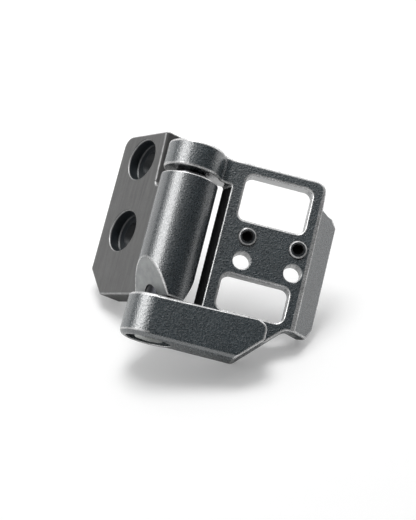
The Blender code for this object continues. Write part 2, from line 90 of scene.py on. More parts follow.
# %% Main sizes
ROUND = 7.48 * MM
BORE = 3.9 * MM
FOOT = -10.8 * MM
BARREL_TOP = 32.0 * MM
EAR_UNDERSIDE = 33.8 * MM
FRAME_TOP = 40.8 * MM
PLATE_FRONT = 0.4 * MM
PLATE_BACK = 5.2 * MM
PLATE_END = 34.9 * MM
LEDGE_END = 27.8 * MM
SPILL = 2.0 * MM
print("barrel height in mm:", round(BARREL_TOP * 1000, 1))

# %% [markdown]
# ## Tools for outlines and cuts
#
# Both leaves are made as a toolmaker would: a plan is extruded up the pin, trimmed to its
# silhouette from the front, and then milled. An outline starts from one vertex. Straight sides
# are edges to the next vertex, and arcs come from the spin operator, which keeps them smooth and
# exactly tangent. Cuts are boolean modifiers that are applied at once, so the result is a plain
# mesh whose edges can then be rounded.

# %% Outline tools
def spin(bm, geom, angle, steps, center=(0.0, 0.0, 0.0), rise=0.0, axis=(0.0, 0.0, 1.0), merge=False):
    """Sweep geometry about an axis, climbing by rise at each step, and give what it ends on."""
    made = bmesh.ops.spin(bm, geom=geom, cent=center, axis=axis, dvec=(0.0, 0.0, rise), angle=angle,
                          steps=steps, use_merge=merge, use_normal_flip=False, use_duplicate=False)
    return made["geom_last"]


def line_to(bm, vert, x, y):
    """A straight side of an outline, from a vertex to a new one."""
    new = bm.verts.new((x, y, 0.0))
    bm.edges.new((vert, new))
    return new


def arc_to(bm, vert, center, degrees, steps):
    """A round side of an outline: the vertex is spun about a centre."""
    return spin(bm, [vert], math.radians(degrees), steps, (center[0], center[1], 0.0))[0]


def close_outline(bm, last, first):
    """Join the last vertex to the first one and fill the outline with one face."""
    bm.edges.new((last, first))
    bmesh.ops.edgenet_fill(bm, edges=bm.edges[:], mat_nr=0, use_smooth=False, sides=0)


def corner_outline(bm, corners):
    """A filled outline of straight sides. Each corner is (x, y, radius)."""
    verts = [bm.verts.new((x, y, 0.0)) for x, y, radius in corners]
    bm.faces.new(verts)
    for i, (x, y, radius) in enumerate(corners):
        if radius == 0.0:
            continue
        side_in = Vector(corners[i - 1][:2]) - Vector((x, y))
        side_out = Vector(corners[(i + 1) % len(corners)][:2]) - Vector((x, y))
        corner = side_in.angle(side_out)
        setback = radius / math.tan(corner / 2)
        segments = round(8 * (math.pi - corner) / (math.pi / 2))
        bmesh.ops.bevel(bm, geom=[verts[i]], offset=setback, offset_type="OFFSET", segments=segments,
                        profile=0.5, affect="VERTICES", clamp_overlap=False, material=-1)


def turn_all(bm, turn):
    """Turn everything in a bmesh about the origin."""
    bmesh.ops.rotate(bm, cent=(0.0, 0.0, 0.0), matrix=turn, verts=bm.verts[:])


def raise_outline(bm, low, high, upright=False):
    """Extrude a filled outline from low to high: up Z, or along Y when it stands upright."""
    made = bmesh.ops.extrude_face_region(bm, geom=bm.faces[:], use_keep_orig=True)
    top = [item for item in made["geom"] if isinstance(item, bmesh.types.BMVert)]
    bottom = [vert for vert in bm.verts if vert not in set(top)]
    if upright:
        bmesh.ops.translate(bm, vec=(0.0, 0.0, -high), verts=top)
        bmesh.ops.translate(bm, vec=(0.0, 0.0, -low), verts=bottom)
        turn_all(bm, Matrix.Rotation(math.pi / 2, 3, "X"))
    else:
        bmesh.ops.translate(bm, vec=(0.0, 0.0, high), verts=top)
        bmesh.ops.translate(bm, vec=(0.0, 0.0, low), verts=bottom)
    bmesh.ops.recalc_face_normals(bm, faces=bm.faces[:])


def to_object(bm, name):
    """Write a bmesh into a new object at the origin."""
    mesh = bpy.data.meshes.new(name)
    bm.to_mesh(mesh)
    bm.free()
    item = bpy.data.objects.new(name, mesh)
    bpy.context.scene.collection.objects.link(item)
    return item


print("outline tools ready")

# %% Cutting tools
def turned(bm, profile, steps, place=Matrix.Identity(4)):
    """Spin a closed profile of (radius, height) points about Z, then put the solid in place."""
    verts = [bm.verts.new((radius, 0.0, height)) for radius, height in profile]
    edges = [bm.edges.new((verts[i - 1], verts[i])) for i in range(len(verts))]
    spin(bm, verts + edges, 2 * math.pi, steps, merge=True)
    bmesh.ops.remove_doubles(bm, verts=bm.verts[:], dist=0.0005 * MM)
    bmesh.ops.dissolve_degenerate(bm, dist=0.0005 * MM, edges=bm.edges[:])
    bmesh.ops.recalc_face_normals(bm, faces=bm.faces[:])
    bmesh.ops.transform(bm, matrix=place, verts=bm.verts[:])


def drill(name, profile, place=Matrix.Identity(4), steps=64):
    """A round cutter from a profile that runs from the axis out and back to the axis."""
    bm = bmesh.new()
    turned(bm, profile, steps, place)
    return to_object(bm, name)


def bore(name, radius, low, high):
    """A plain round cutter along Z, longer than the hole at both ends."""
    return drill(name, [(0.0, low - SPILL), (radius, low - SPILL), (radius, high + SPILL),
                        (0.0, high + SPILL)])


def block(name, low, high):
    """A rectangular cutter between two corners."""
    bm = bmesh.new()
    bmesh.ops.create_cube(bm, size=1.0)
    low = Vector(low)
    high = Vector(high)
    bmesh.ops.scale(bm, vec=high - low, verts=bm.verts[:])
    bmesh.ops.translate(bm, vec=(low + high) / 2, verts=bm.verts[:])
    return to_object(bm, name)


def cut(piece, tools, operation="DIFFERENCE"):
    """Apply each cutter to the piece, then throw the cutters away."""
    for tool in tools:
        modifier = piece.modifiers.new(tool.name, "BOOLEAN")
        modifier.operation = operation
        modifier.solver = "EXACT"
        modifier.object = tool
    graph = bpy.context.evaluated_depsgraph_get()
    mesh = bpy.data.meshes.new_from_object(piece.evaluated_get(graph))
    piece.modifiers.clear()
    piece.data = mesh
    for tool in tools:
        bpy.data.objects.remove(tool, do_unlink=True)


print("cutting tools ready")

# %% [markdown]
# ## Rounding edges
#
# A casting has no sharp edge, and these small radii are what catches the light in the
# photograph. Vertices that the cuts left close together are merged first and flat seams are
# dissolved, because a bevel can't cross them. Each piece then gets its wide radii, and last a
# narrow one on every other sharp edge. Two edges of the wing stay as they are: the hollow at its
# root, and the crease where its top starts to slant, because radii would cross there. A test on
# an edge gets its ends in millimetres, and `NEAR` is how far they may be off.

# %% Rounding tools
NEAR = 0.02


def tidy_cuts(bm, gap=0.1 * MM):
    """Merge close vertices and dissolve the flat seams that cuts leave behind."""
    bmesh.ops.remove_doubles(bm, verts=bm.verts[:], dist=gap)
    bmesh.ops.dissolve_limit(bm, angle_limit=math.radians(0.4), use_dissolve_boundaries=False,
                             verts=bm.verts[:], edges=bm.edges[:], delimit=set())


def round_off(bm, edges, width, segments):
    """Round these edges."""
    bmesh.ops.bevel(bm, geom=edges, offset=width, offset_type="OFFSET", segments=segments,
                    profile=0.5, affect="EDGES", clamp_overlap=False, material=-1,
                    miter_outer="ARC", loop_slide=True)


def sharp_edges(bm, angle=40.0, test=None):
    """Every edge whose faces meet at more than this angle, and that passes the test."""
    found = []
    for edge in bm.edges:
        if edge.calc_face_angle(0.0) < math.radians(angle):
            continue
        if test is None or test([vert.co / MM for vert in edge.verts]):
            found.append(edge)
    return found


print("rounding tools ready")

# %% [markdown]
# ## Frame leaf
#
# On the real hinge this is most likely one zinc casting: the lower ear runs on into a deep ledge, the upper
# ear into the windowed plate, and a wing is bent off the outer edge. A single subdivision cage
# would blur the crisp plate, so the leaf is built from its plan and silhouette and then milled,
# as the core and slides of its mould would do.

# %% Plan and silhouette of the frame leaf
WING_ANGLE = math.radians(52.0)
WING_LENGTH = 8.7 * MM
WING_THICKNESS = 4.5 * MM
WING_TOP = 32.9 * MM
WING_END_X = PLATE_END + WING_LENGTH * math.cos(WING_ANGLE)
WING_SLANT_X = WING_END_X - 1.8 * MM
WING_TIP = Vector((WING_END_X, PLATE_FRONT + WING_LENGTH * math.sin(WING_ANGLE)))
WING_INNER = WING_TIP + WING_THICKNESS * Vector((-math.sin(WING_ANGLE), math.cos(WING_ANGLE)))
WING_ROOT_X = WING_INNER.x - (WING_INNER.y - PLATE_BACK) / math.tan(WING_ANGLE)
HEAD_RADIUS = 2.8 * MM
EAR_FILLET = 2.5 * MM
WINDOW_LEFT = 14.1 * MM
WINDOW_RIGHT = 31.6 * MM
LOWER_WINDOW = (1.8 * MM, 11.1 * MM)
UPPER_WINDOW = (25.6 * MM, 37.7 * MM)
FRONT = -ROUND


def fillet_center(side_y):
    """Where the hollow between the round ear and a flat face has its centre."""
    return (((ROUND + EAR_FILLET) ** 2 - side_y ** 2) ** 0.5, side_y)


def frame_plan():
    """The frame leaf seen along the pin: ledge, plate, wing and ear."""
    bm = bmesh.new()
    center = fillet_center(PLATE_BACK + EAR_FILLET)
    touch = math.degrees(math.atan2(center[1], center[0]))
    first = bm.verts.new((LEDGE_END, FRONT, 0.0))
    vert = line_to(bm, first, LEDGE_END, PLATE_FRONT)
    vert = line_to(bm, vert, PLATE_END, PLATE_FRONT)
    vert = line_to(bm, vert, WING_TIP.x, WING_TIP.y)
    vert = line_to(bm, vert, WING_INNER.x, WING_INNER.y)
    vert = line_to(bm, vert, WING_ROOT_X, PLATE_BACK)
    vert = line_to(bm, vert, center[0], PLATE_BACK)
    vert = arc_to(bm, vert, center, touch - 90.0, 8)
    vert = arc_to(bm, vert, (0.0, 0.0), 270.0 - touch, 64)
    close_outline(bm, vert, first)
    raise_outline(bm, FOOT - SPILL, FRAME_TOP + SPILL)
    return to_object(bm, "frame_leaf_piece")


def frame_silhouette():
    """The frame leaf seen from the front: slanted foot, wing and round head corner."""
    left = -ROUND - SPILL
    slant = 32.6 * MM
    edge = 0.5 * MM
    slant_foot = slant - (edge - FOOT) / math.tan(math.radians(46.0))
    beyond = 1.5 * MM
    top_slope = 1.6 / 1.8
    bm = bmesh.new()
    corner_outline(bm, [
        (left, FOOT, 0.0), (slant_foot, FOOT, 0.0), (slant, edge, 2.5 * MM),
        (WING_END_X - beyond, edge, 0.0), (WING_END_X + beyond, edge + 6.0 * MM, 0.0),
        (WING_END_X + beyond, WING_TOP - 1.6 * MM - beyond * top_slope, 0.0),
        (WING_SLANT_X, WING_TOP, 0.0), (PLATE_END, WING_TOP, 0.0),
        (PLATE_END, FRAME_TOP, HEAD_RADIUS), (left, FRAME_TOP, 0.0)])
    raise_outline(bm, FRONT - SPILL, 16.0 * MM, upright=True)
    return to_object(bm, "frame_silhouette")


leaf = frame_plan()
cut(leaf, [frame_silhouette()], "INTERSECT")
print("frame leaf blank:", len(leaf.data.polygons), "faces")

# %% Front relief, barrel space and windows
def ledge_relief():
    """What is milled off in front of the upper ear and the plate, above the ledge."""
    center = fillet_center(PLATE_FRONT - EAR_FILLET)
    touch = math.degrees(math.atan2(center[1], center[0]))
    bm = bmesh.new()
    first = bm.verts.new((0.0, FRONT - SPILL, 0.0))
    vert = line_to(bm, first, 0.0, FRONT)
    vert = arc_to(bm, vert, (0.0, 0.0), touch + 90.0, 22)
    vert = arc_to(bm, vert, center, -(touch + 90.0), 8)
    vert = line_to(bm, vert, LEDGE_END, PLATE_FRONT)
    vert = line_to(bm, vert, LEDGE_END + SPILL, FRONT - SPILL)
    close_outline(bm, vert, first)
    raise_outline(bm, 0.0, FRAME_TOP + SPILL)
    return to_object(bm, "ledge_relief")


def window(low, high):
    """A window through the plate, with round corners."""
    radius = 2.0 * MM
    bm = bmesh.new()
    corner_outline(bm, [(WINDOW_LEFT, low, radius), (WINDOW_RIGHT, low, radius),
                        (WINDOW_RIGHT, high, radius), (WINDOW_LEFT, high, radius)])
    raise_outline(bm, PLATE_FRONT - SPILL, PLATE_BACK + SPILL, upright=True)
    return to_object(bm, "window")


def barrel_space():
    """Room for the barrel between the ears, with a hollow wall in the plate's edge."""
    center = (0.17 * MM, -1.39 * MM)
    side = 12.0 * MM
    front = Vector((10.72 * MM, PLATE_FRONT))
    rear = Vector((8.6 * MM, PLATE_BACK))
    turn = math.degrees((front - Vector(center)).angle(rear - Vector(center)))
    bm = bmesh.new()
    first = bm.verts.new((-side, -side, 0.0))
    vert = line_to(bm, first, front.x, -side)
    vert = line_to(bm, vert, front.x, front.y)
    vert = arc_to(bm, vert, center, turn, 5)
    vert = line_to(bm, vert, vert.co.x, side)
    vert = line_to(bm, vert, -side, side)
    close_outline(bm, vert, first)
    raise_outline(bm, 0.0, EAR_UNDERSIDE)
    return to_object(bm, "barrel_space")


wing_head = block("wing_head", (WINDOW_LEFT, PLATE_BACK, WING_TOP), (50.0 * MM, 16.0 * MM, 50.0 * MM))
cut(leaf, [ledge_relief(), barrel_space(), wing_head, window(*UPPER_WINDOW), window(*LOWER_WINDOW)])
print("frame leaf milled:", len(leaf.data.polygons), "faces")

# %% Radii of the frame leaf
def on_head_rim(co):
    """True on the plate's front, along its top, its outer edge and the round corner between."""
    corner_x = (PLATE_END - HEAD_RADIUS) / MM - 0.1
    corner_z = (FRAME_TOP - HEAD_RADIUS) / MM - 0.1
    return co.y < PLATE_FRONT / MM + NEAR and (
        co.z > FRAME_TOP / MM - NEAR or co.x > PLATE_END / MM - NEAR
        or co.x > corner_x and co.z > corner_z)


def stays_sharp(co):
    """True in the hollow at the wing's root, and on the crease where its top starts to slant."""
    return (abs(co.x - WING_ROOT_X / MM) < 0.12 and abs(co.y - PLATE_BACK / MM) < NEAR
            or abs(co.x - WING_SLANT_X / MM) < 0.05 and abs(co.z - WING_TOP / MM) < NEAR)


bm = bmesh.new()
bm.from_mesh(leaf.data)
tidy_cuts(bm)
end_corner = sharp_edges(bm, 60.0, lambda ends: all(
    abs(co.x - LEDGE_END / MM) < NEAR and abs(co.z) < NEAR for co in ends))
print("ledge end corner edges:", len(end_corner))
round_off(bm, end_corner, 2.2 * MM, 6)
foot_rim = sharp_edges(bm, 60.0, lambda ends: all(co.z < FOOT / MM + NEAR for co in ends))
print("foot rim edges:", len(foot_rim))
round_off(bm, foot_rim, 1.4 * MM, 5)
ledge_top = sharp_edges(bm, 60.0, lambda ends: all(abs(co.z) < NEAR and co.y < 0.2 for co in ends))
ledge_top = [edge for edge in ledge_top if edge.is_convex]
print("ledge top edges:", len(ledge_top))
round_off(bm, ledge_top, 0.9 * MM, 6)
head_rim = sharp_edges(bm, 40.0, lambda ends: all(on_head_rim(co) for co in ends))
print("head rim edges:", len(head_rim))
round_off(bm, head_rim, 0.9 * MM, 6)
tidy_cuts(bm, 0.02 * MM)
round_off(bm, sharp_edges(bm, 40.0, lambda ends: not all(stays_sharp(co) for co in ends)), 0.55 * MM, 4)
bm.to_mesh(leaf.data)
print("rounded: open edges", sum(1 for edge in bm.edges if not edge.is_manifold))
bm.free()
print("frame leaf:", len(leaf.data.polygons), "faces")

# %% [markdown]
# ## Holes of the frame leaf
#
# The ears carry the pin bore, with a counterbore at each end that hides the pin's head and foot.
# The plate has two open fixing holes and two threaded ones for the stop screws. They are cut
# after the radii, because a drill leaves its own small lead-in at the rim. A cutter for a rim
# that shows is a turned profile whose ends flare, so it comes out rounded without a second bevel.

# %% Hole tools
def flare(radius, height, rim, side):
    """Profile points from a flared rim at a face to the wall of a hole."""
    points = []
    for degrees in (12.0, 38.0, 64.0, 90.0):
        angle = math.radians(degrees)
        points.append((radius + rim - rim * math.sin(angle),
                       height + side * rim * (1.0 - math.cos(angle))))
    return points


def through_hole(radius, low, high, rim):
    """A through hole with a round rim at both faces."""
    foot = flare(radius, low, rim, 1.0)
    head = flare(radius, high, rim, -1.0)
    return ([(0.0, low - SPILL), (foot[0][0], low - SPILL)] + foot + head[::-1]
            + [(head[0][0], high + SPILL), (0.0, high + SPILL)])


def seat(radius, floor, face, rim, corner):
    """A flat-bottomed counterbore from a face, up or down, with a small corner at its floor."""
    side = 1.0 if floor > face else -1.0
    mouth = flare(radius, face, rim, side)
    return ([(0.0, face - side * SPILL), (mouth[0][0], face - side * SPILL)] + mouth
            + [(radius, floor - side * corner), (radius - corner, floor), (0.0, floor)])


def across_plate(x, z):
    """Turns a cutter from along Z to along Y and puts it at this place on the plate."""
    return Matrix.Translation((x, 0.0, z)) @ Matrix.Rotation(-math.pi / 2, 4, "X")


print("hole tools ready")

# %% Drill the frame leaf
HOLE_XS = (17.85 * MM, 31.15 * MM)
SCREW_Z = 21.5 * MM
tools = []
for i, x in enumerate(HOLE_XS):
    tools.append(drill("open_hole_" + str(i), through_hole(2.25 * MM, PLATE_FRONT, PLATE_BACK, 0.35 * MM),
                       across_plate(x, 15.2 * MM), 48))
    tools.append(drill("screw_hole_" + str(i), through_hole(2.4 * MM, PLATE_FRONT, PLATE_BACK, 0.1 * MM),
                       across_plate(x, SCREW_Z), 48))
tools.append(bore("pin_bore", BORE, FOOT, FRAME_TOP))
tools.append(drill("foot_seat", seat(5.8 * MM, -7.8 * MM, FOOT, 0.3 * MM, 0.15 * MM)))
tools.append(drill("head_seat", seat(5.8 * MM, 38.2 * MM, FRAME_TOP, 0.3 * MM, 0.15 * MM)))
cut(leaf, tools)
print("frame leaf drilled:", len(leaf.data.polygons), "faces")

# %% [markdown]
# ## Plate leaf
#
# This leaf is a thick plate that runs into the barrel at a tangent. Its plan is one outline, its
# silhouette gives the slanted foot and the notch that clears the upper ear, and two wedges plane
# the oblique flats at the barrel's foot. The barrel is bored for the pin, with a wider pocket for
# the spring at its top.

# %% Plate leaf blank
LEAF_LENGTH = 36.0 * MM
LEAF_FACE = -0.5 * MM
LEAF_TOP = 47.6 * MM
NOTCH_X = 16.3 * MM
FLAT_HEIGHT = 9.0 * MM
FLAT_ANGLE = math.radians(30.0)
BARREL_FOOT = 0.3 * MM


def leaf_plan():
    """The plate leaf seen along the pin. The arc has a vertex where each foot flat begins."""
    flat_y = 7.5 * MM - (FLAT_HEIGHT - BARREL_FOOT) * math.tan(FLAT_ANGLE)
    meet = math.degrees(math.asin(LEAF_FACE / ROUND))
    foot = math.degrees(math.asin(flat_y / ROUND))
    bm = bmesh.new()
    first = bm.verts.new((LEAF_LENGTH, -ROUND, 0.0))
    vert = line_to(bm, first, LEAF_LENGTH, LEAF_FACE)
    vert = line_to(bm, vert, ROUND * math.cos(math.radians(meet)), LEAF_FACE)
    vert = arc_to(bm, vert, (0.0, 0.0), foot - meet, 8)
    vert = arc_to(bm, vert, (0.0, 0.0), 180.0 - 2.0 * foot, 48)
    vert = arc_to(bm, vert, (0.0, 0.0), 2.0 * foot, 14)
    vert = arc_to(bm, vert, (0.0, 0.0), 90.0 - foot, 24)
    close_outline(bm, vert, first)
    raise_outline(bm, -SPILL, LEAF_TOP + SPILL)
    return to_object(bm, "plate_leaf_piece")


def leaf_silhouette():
    """The plate leaf seen from its front."""
    left = -ROUND - SPILL
    shoulder = ROUND + 0.32 * MM
    bottom = 1.6 * MM
    chamfer = 7.3 * MM
    bm = bmesh.new()
    corner_outline(bm, [
        (left, BARREL_FOOT, 0.0), (shoulder, BARREL_FOOT, 0.0), (shoulder, bottom, 0.0),
        (LEAF_LENGTH - chamfer, bottom, 0.0), (LEAF_LENGTH, bottom + chamfer, 0.0),
        (LEAF_LENGTH, LEAF_TOP, 3.0 * MM), (NOTCH_X, LEAF_TOP, 0.0),
        (NOTCH_X, BARREL_TOP, 1.5 * MM), (left, BARREL_TOP, 0.0)])
    raise_outline(bm, -ROUND - SPILL, ROUND + SPILL, upright=True)
    return to_object(bm, "leaf_silhouette")


def foot_wedge(side, low, high):
    """A wedge along X that planes one oblique flat, on the +Y or the -Y side."""
    foot = -SPILL
    reach = 7.5 * MM + SPILL
    inner = 7.5 * MM - (FLAT_HEIGHT - foot) * math.tan(FLAT_ANGLE)
    head = FLAT_HEIGHT + SPILL / math.tan(FLAT_ANGLE)
    bm = bmesh.new()
    corner_outline(bm, [(side * inner, foot, 0.0), (side * reach, foot, 0.0), (side * reach, head, 0.0)])
    raise_outline(bm, low, high)
    # the outline's X, Y and extrusion become the leaf's Y, Z and X
    turn_all(bm, Matrix(((0.0, 0.0, 1.0), (1.0, 0.0, 0.0), (0.0, 1.0, 0.0))))
    return to_object(bm, "foot_wedge")


plate = leaf_plan()
cut(plate, [leaf_silhouette()], "INTERSECT")
cut(plate, [foot_wedge(1.0, -10.0 * MM, 10.0 * MM), foot_wedge(-1.0, -10.0 * MM, 2.0 * MM)])
print("plate leaf blank:", len(plate.data.polygons), "faces")

# %% Radii and holes of the plate leaf
bm = bmesh.new()
bm.from_mesh(plate.data)
tidy_cuts(bm, 0.05 * MM)
notch_edge = sharp_edges(bm, 60.0, lambda ends: all(
    abs(co.x - NOTCH_X / MM) < NEAR and abs(co.y - LEAF_FACE / MM) < NEAR for co in ends))
print("notch edges:", len(notch_edge))
round_off(bm, notch_edge, 0.9 * MM, 4)
round_off(bm, sharp_edges(bm, 25.0), 0.4 * MM, 3)
print("rounded: open edges", sum(1 for edge in bm.edges if not edge.is_manifold))
bm.to_mesh(plate.data)
bm.free()
HOLE_X = 25.8 * MM
HOLE_ZS = (19.65 * MM, 40.2 * MM)
tools = [bore("barrel_bore", BORE, 0.0, BARREL_TOP),
         drill("spring_pocket", seat(5.0 * MM, 20.0 * MM, BARREL_TOP, 0.25 * MM, 0.1 * MM))]
for i, z in enumerate(HOLE_ZS):
    tools.append(drill("fixing_hole_" + str(i), through_hole(3.5 * MM, -ROUND, LEAF_FACE, 0.3 * MM),
                       across_plate(HOLE_X, z)))
    tools.append(drill("fixing_seat_" + str(i),
                       seat(5.75 * MM, LEAF_FACE - 3.4 * MM, LEAF_FACE, 0.5 * MM, 0.3 * MM),
                       across_plate(HOLE_X, z)))
cut(plate, tools)
print("plate leaf:", len(plate.data.polygons), "faces")

# %% [markdown]
# ## Pin, snap ring, spring and stop screws
#
# The pin is a turned part: a flat head with broken edges sits in the upper ear, and a groove near
# its foot takes an open ring of round wire. Spinning a profile is how a lathe works, so every
# round part here is spun. The barrel spring is a round wire end that climbs as it is spun, with
# one closed turn at each end. The headless stop screws get a helical thread in the same way, from
# a small tooth, and a hexagon socket with a conical mouth.

# %% Hinge pin
PIN = 3.6 * MM
bm = bmesh.new()
turned(bm, [(0.0, 40.5 * MM), (3.2 * MM, 40.5 * MM), (4.9 * MM, 40.42 * MM), (5.3 * MM, 40.28 * MM),
            (5.48 * MM, 40.0 * MM), (5.48 * MM, 38.62 * MM), (5.36 * MM, 38.5 * MM), (3.7 * MM, 38.5 * MM),
            (PIN, 38.4 * MM), (PIN, -7.7 * MM), (3.5 * MM, -7.8 * MM), (2.9 * MM, -7.8 * MM),
            (2.9 * MM, -9.4 * MM), (3.5 * MM, -9.4 * MM), (PIN, -9.5 * MM), (PIN, -10.15 * MM),
            (3.52 * MM, -10.34 * MM), (3.35 * MM, -10.4 * MM), (0.0, -10.4 * MM)], 96)
pin = to_object(bm, "hinge_pin_piece")
print("hinge pin:", len(pin.data.polygons), "faces")

# %% Snap ring
RING_RADIUS = 3.7 * MM
RING_Z = -8.6 * MM


def wire_end(bm, wire_radius, segments, start):
    """The round end face of a wire at this place, ready to be spun about Z."""
    bmesh.ops.create_circle(bm, cap_ends=True, segments=segments, radius=wire_radius)
    turn_all(bm, Matrix.Rotation(math.pi / 2, 3, "X"))
    bmesh.ops.translate(bm, vec=start, verts=bm.verts[:])


bm = bmesh.new()
wire_end(bm, 0.49 * MM, 16, (RING_RADIUS, 0.0, RING_Z))
turn_all(bm, Matrix.Rotation(math.radians(20.0), 3, "Z"))
spin(bm, bm.verts[:] + bm.edges[:] + bm.faces[:], math.radians(320.0), 56)
bmesh.ops.recalc_face_normals(bm, faces=bm.faces[:])
snap_ring = to_object(bm, "snap_ring_piece")
print("snap ring:", len(snap_ring.data.polygons), "faces")

# %% Barrel spring
SPRING_WIRE = 0.8 * MM
SPRING_RADIUS = 4.3 * MM
SPRING_FOOT = 21.4 * MM
SPRING_TOP = 33.5 * MM
CLOSED_RISE = 0.92 * MM
OPEN_TURNS = 4
STEPS_PER_TURN = 40
open_rise = (SPRING_TOP - SPRING_FOOT - SPRING_WIRE - 2 * CLOSED_RISE) / OPEN_TURNS
bm = bmesh.new()
wire_end(bm, SPRING_WIRE / 2, 12, (SPRING_RADIUS, 0.0, SPRING_FOOT + SPRING_WIRE / 2))
growing = bm.verts[:] + bm.edges[:] + bm.faces[:]
for rise, turns in ((CLOSED_RISE, 1), (open_rise, OPEN_TURNS), (CLOSED_RISE, 1)):
    growing = spin(bm, growing, 2.0 * math.pi * turns, STEPS_PER_TURN * turns,
                   rise=rise / STEPS_PER_TURN)
bmesh.ops.recalc_face_normals(bm, faces=bm.faces[:])
print("spring: open edges", sum(1 for edge in bm.edges if not edge.is_manifold))
spring = to_object(bm, "barrel_spring_piece")
print("spring:", len(spring.data.polygons), "faces")

# %% Stop screws
SCREW_FACE = -0.3 * MM
THREAD_PITCH = 0.8 * MM
SOCKET_RADIUS = 1.25 * MM / math.cos(math.pi / 6)


def stop_screw(name, x, turn):
    """A headless screw: core, thread and socket, its face towards -Y."""
    bm = bmesh.new()
    turned(bm, [(0.0, 0.0), (1.92 * MM, 0.0), (2.06 * MM, -0.06 * MM), (2.3 * MM, -0.34 * MM),
                (2.14 * MM, -0.5 * MM), (2.08 * MM, -0.6 * MM), (2.08 * MM, -4.6 * MM),
                (1.8 * MM, -4.98 * MM), (0.0, -4.98 * MM)], 48)
    body = to_object(bm, name)
    bm = bmesh.new()
    bmesh.ops.create_cone(bm, cap_ends=True, segments=6, radius1=SOCKET_RADIUS,
                          radius2=SOCKET_RADIUS, depth=7.0 * MM)
    hexagon = to_object(bm, "hexagon")
    mouth = drill("mouth", [(0.0, 0.5 * MM), (2.1 * MM, 0.5 * MM), (1.56 * MM, 0.02 * MM),
                            (1.38 * MM, -0.14 * MM), (1.3 * MM, -0.4 * MM), (0.0, -0.4 * MM)], steps=48)
    cut(body, [hexagon, mouth])
    bm = bmesh.new()
    tooth = [bm.verts.new((radius * MM, 0.0, height * MM)) for radius, height in
             ((2.0, -0.66), (2.34, -0.36), (2.39, -0.3), (2.34, -0.24), (2.0, 0.06))]
    bm.faces.new(tooth)
    bmesh.ops.translate(bm, vec=(0.0, 0.0, -0.62 * MM), verts=bm.verts[:])
    turns = 4.6
    steps = 150
    spin(bm, bm.verts[:] + bm.edges[:] + bm.faces[:], 2 * math.pi * turns, steps,
         rise=-THREAD_PITCH * turns / steps)
    bmesh.ops.recalc_face_normals(bm, faces=bm.faces[:])
    bm.from_mesh(body.data)
    place = (Matrix.Translation((x, SCREW_FACE, SCREW_Z)) @ Matrix.Rotation(math.pi / 2, 4, "X")
             @ Matrix.Rotation(math.radians(turn), 4, "Z"))
    bmesh.ops.transform(bm, matrix=place, verts=bm.verts[:])
    bm.to_mesh(body.data)
    bm.free()
    print(name, len(body.data.polygons), "faces")
    return body


screw_inner = stop_screw("stop_screw_inner_piece", HOLE_XS[0], 12.0)
screw_outer = stop_screw("stop_screw_outer_piece", HOLE_XS[1], 41.0)

# %% [markdown]
# ## Placing and shading the pieces
#
# Every piece is moved into the row frame inside its mesh, so its object stays at the origin.
# Faces are smooth where they turn gently, and the weighted normal modifier keeps the large flats
# flat beside their radii. An `edge` value is stored at the corners of the faces: 0 on a flat or
# a wide round, and up to 1 on the narrow faces of a radius that bends outwards. The finishes read
# it for wear and for a painted highlight along the radii. The spring gets a mesh of its own.

# %% Placing tools
RADIUS_FACE = 0.32 * MM
LEAST_BEND = 5.0
FULL_BEND = 13.0


def is_radius(face):
    """True for a narrow face whose two longest edges both bend outwards, as in a radius."""
    width = 2.0 * face.calc_area() / face.calc_perimeter()
    longest = sorted(face.edges, key=lambda edge: edge.calc_length())[-2:]
    bent = [edge.calc_face_angle_signed(0.0) > math.radians(LEAST_BEND) for edge in longest]
    return width < RADIUS_FACE and all(bent)


def mark_edges(mesh):
    """Store where the surface bends outwards, at the corners of the narrow faces of a radius."""
    bm = bmesh.new()
    bm.from_mesh(mesh)
    bends = []
    for vert in bm.verts:
        angles = [edge.calc_face_angle_signed(0.0) for edge in vert.link_edges]
        bend = math.degrees(max(angles, default=0.0))
        bends.append(min(max((bend - LEAST_BEND) / (FULL_BEND - LEAST_BEND), 0.0), 1.0))
    values = []
    for face in bm.faces:
        worn_and_lit = is_radius(face)
        values.extend(bends[vert.index] if worn_and_lit else 0.0 for vert in face.verts)
    bm.free()
    attribute = mesh.attributes.new("edge", "FLOAT", "CORNER")
    attribute.data.foreach_set("value", values)


def put(piece, matrix, body, node):
    """Put a finished piece in the row frame, shade it, and tie it to its CAD node."""
    mesh = piece.data
    mesh.transform(matrix)
    mark_edges(mesh)
    mesh.shade_smooth()
    mesh.set_sharp_from_angle(angle=math.radians(38.0))
    weighted = piece.modifiers.new("Weighted normals", "WEIGHTED_NORMAL")
    weighted.keep_sharp = True
    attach(piece, body)
    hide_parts(node)
    print(piece.name, "rides on", body)


print("placing tools ready")

# %% Place the pieces
put(leaf, to_row, "frame", "frame_leaf")
put(plate, leaf_to_row, "leaf", "plate_leaf")
put(pin, to_row, "frame", "hinge_pin")
put(snap_ring, to_row, "frame", "pin_snap_ring")
put(screw_inner, to_row, "frame", "stop_screw_inner")
put(screw_outer, to_row, "frame", "stop_screw_outer")
put(spring, to_row, "frame", "barrel_spring")
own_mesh(spring)
print("pieces placed")

# %% [markdown]
# ## Finishes
#
# The frame leaf and the barrel have a dark, finely grained coating with a clear gloss over it,
# and the plate leaf a smoother one with faint streaks along the pin. The screws have a darker
# coating of their own, and the oblique flats are bare. The counterbores and the recess beside the
# barrel are darker and duller as painted shade, and the window walls that face down are glossier
# and lighter, the lighter colour as painted reflection.
# All coatings share one group for the grain and one for wear and painted highlight, which lightens
# radii and smooths their grain. The groups only put out values and colours, and each material
# feeds them to its own Principled shader.

# %% Node helpers
def new_material(name):
    """A material, with its node tree and its Principled shader."""
    material = bpy.data.materials.new(name)
    material.use_nodes = True
    return material, material.node_tree, material.node_tree.nodes["Principled BSDF"]


